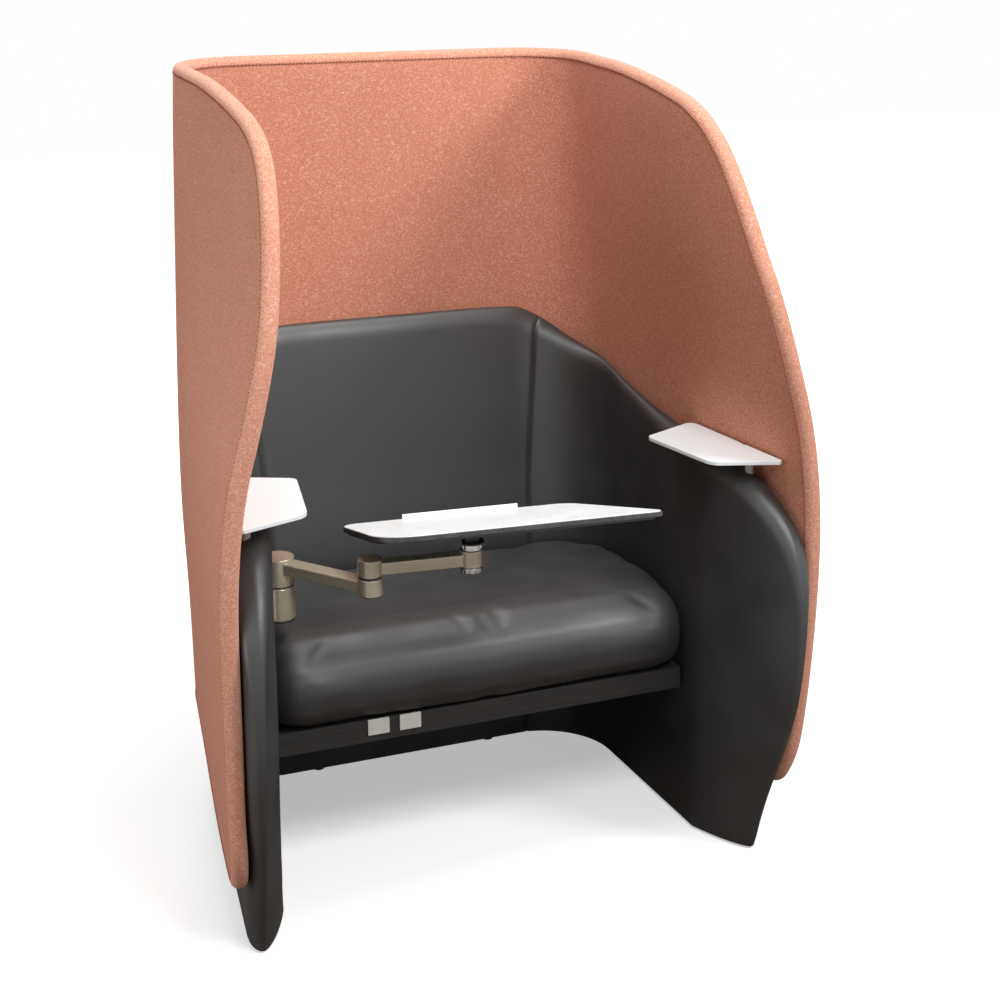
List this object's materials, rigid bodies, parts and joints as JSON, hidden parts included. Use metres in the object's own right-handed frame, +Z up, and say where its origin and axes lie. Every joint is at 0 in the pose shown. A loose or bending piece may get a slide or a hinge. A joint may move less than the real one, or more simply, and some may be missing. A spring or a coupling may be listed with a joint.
{
  "type": "acoustic high back lounge chair",
  "caption": "High back lounge chair with a curved felt-covered privacy screen, a padded tub seat, arm trays and a folding arm that carries a tilting writing tablet.",
  "frame": {"origin": "the middle of the chair's outline, on the floor", "axes": "+Z up, the sitter faces -Y, +X is to the left of the sitter (the right side in the picture)"},
  "size_m": [1.0226, 0.87, 1.35],
  "materials": {
    "felt": "coral melange wool felt, slightly fuzzy",
    "board": "moulded board, hidden between the felts",
    "plywood": "birch plywood, hidden",
    "black_wood": "black stained timber",
    "leather": "smooth black leather with a soft sheen",
    "black_cloth": "thin black underside cloth",
    "black_plastic": "matt black plastic",
    "pale_plastic": "off-white plastic clip",
    "bush": "natural bearing plastic",
    "white_tray": "white powder coat, satin",
    "white_metal": "off-white powder coat",
    "champagne": "champagne beige satin paint",
    "champagne_gloss": "glossy inset cap",
    "chrome": "polished chrome rings with notches",
    "pin_steel": "ground steel",
    "zinc": "zinc plated",
    "black_metal": "black painted steel",
    "tablet_black": "black edged board, bevelled underneath",
    "white_laminate": "white satin laminate",
    "white_plastic": "white ledge strip"
  },
  "bodies": {
    "chair": {"screen_core": "board", "screen_inner_felt": "felt", "screen_outer_felt": "felt", "screen_edge_band": "felt", "screen_bolts": "zinc", "side_board_left": "plywood", "side_board_right": "plywood", "back_board": "plywood", "bent_corners": "plywood", "side_pad_left": "leather", "side_pad_right": "leather", "back_pad": "leather", "glides": "black_plastic", "seat_board": "plywood", "seat_cleats": "black_wood", "seat_front_rail": "black_wood", "seat_screws": "zinc", "seat_clips": "pale_plastic", "seat_cushion": "leather", "dust_cover": "black_cloth", "tray_left": "white_tray", "tray_right": "white_tray", "tray_bracket_left": "white_metal", "tray_bracket_right": "white_metal", "tray_screws": "zinc", "wall_bracket": "champagne", "wall_screws": "zinc", "wall_spacers": "zinc", "socket_bush_upper": "bush", "socket_bush_lower": "bush", "socket_cap": "black_plastic", "base_thrust_washer": "black_plastic"},
    "lower_arm": {"lower_arm": "champagne", "base_pin": "pin_steel", "hub_cap": "champagne_gloss", "elbow_washer": "black_plastic", "elbow_bush": "bush"},
    "upper_arm": {"upper_arm": "champagne", "elbow_pin": "pin_steel", "elbow_nut": "black_plastic", "elbow_cap": "champagne", "end_bush": "bush"},
    "swivel_head": {"head_spindle": "pin_steel", "clutch_ring_upper": "chrome", "clutch_ring_lower": "chrome", "friction_washers": "black_plastic", "spindle_nut": "black_metal", "swivel_head": "black_metal", "tilt_pin": "pin_steel"},
    "tablet": {"tablet_bracket": "black_metal", "tablet_screws": "zinc", "tablet_core": "tablet_black", "tablet_top": "white_laminate", "tablet_ledge": "white_plastic"}
  },
  "joints": [
    {"name": "arm_swing", "type": "hinge", "parent": "chair", "child": "lower_arm", "pos_m": [-0.358, -0.15, 0.6], "axis": [0, 0, 1], "range_deg": [-25, 30]},
    {"name": "elbow_swing", "type": "hinge", "parent": "lower_arm", "child": "upper_arm", "pos_m": [-0.24953, -0.29239, 0.62], "axis": [0, 0, 1], "range_deg": [-20, 40]},
    {"name": "tablet_swivel", "type": "hinge", "parent": "upper_arm", "child": "swivel_head", "pos_m": [-0.08643, -0.30954, 0.64], "axis": [0, 0, 1], "range_deg": [-90, 20]},
    {"name": "tablet_tilt", "type": "hinge", "parent": "swivel_head", "child": "tablet", "pos_m": [-0.08643, -0.30954, 0.6695], "axis": [0.9962, -0.0872, 0], "range_deg": [-6, 12]}
  ]
}
